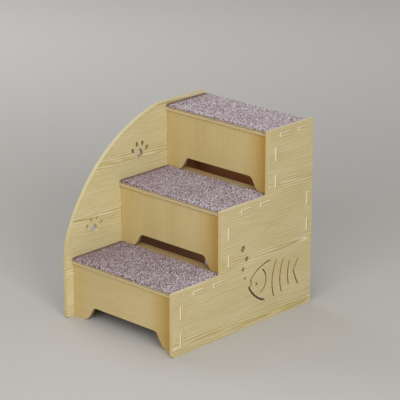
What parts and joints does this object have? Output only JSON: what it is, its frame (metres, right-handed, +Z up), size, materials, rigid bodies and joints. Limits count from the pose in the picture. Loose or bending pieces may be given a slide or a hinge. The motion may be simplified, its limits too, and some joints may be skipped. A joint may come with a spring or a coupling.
{
  "type": "pet stairs",
  "caption": "Pet stairs slotted together from flat wooden boards, with carpeted treads, arched risers, a curved guard panel on one side, and fishbone and paw-print cut-outs.",
  "frame": {"origin": "centre of the footprint, on the floor", "axes": "+Z up, +Y the way a pet climbs, from the lowest step to the back, +X to the right of a pet that climbs, so the guard panel is on the -X side"},
  "size_m": [0.304, 0.4, 0.39],
  "materials": {
    "side_panels": "satin pale pine grain, cut edges a pinkish cream",
    "boards": "satin golden pine grain, cut edges a pinkish cream",
    "carpet": "short dense pile, flecked mauve grey"
  },
  "bodies": {
    "root": {"side_panel_left": "side_panels", "side_panel_right": "side_panels", "riser_lower": "boards", "riser_middle": "boards", "riser_upper": "boards", "tread_lower": "boards", "tread_middle": "boards", "tread_upper": "boards", "back_rail": "boards", "carpet_lower": "carpet", "carpet_middle": "carpet", "carpet_upper": "carpet"}
  },
  "joints": []
}
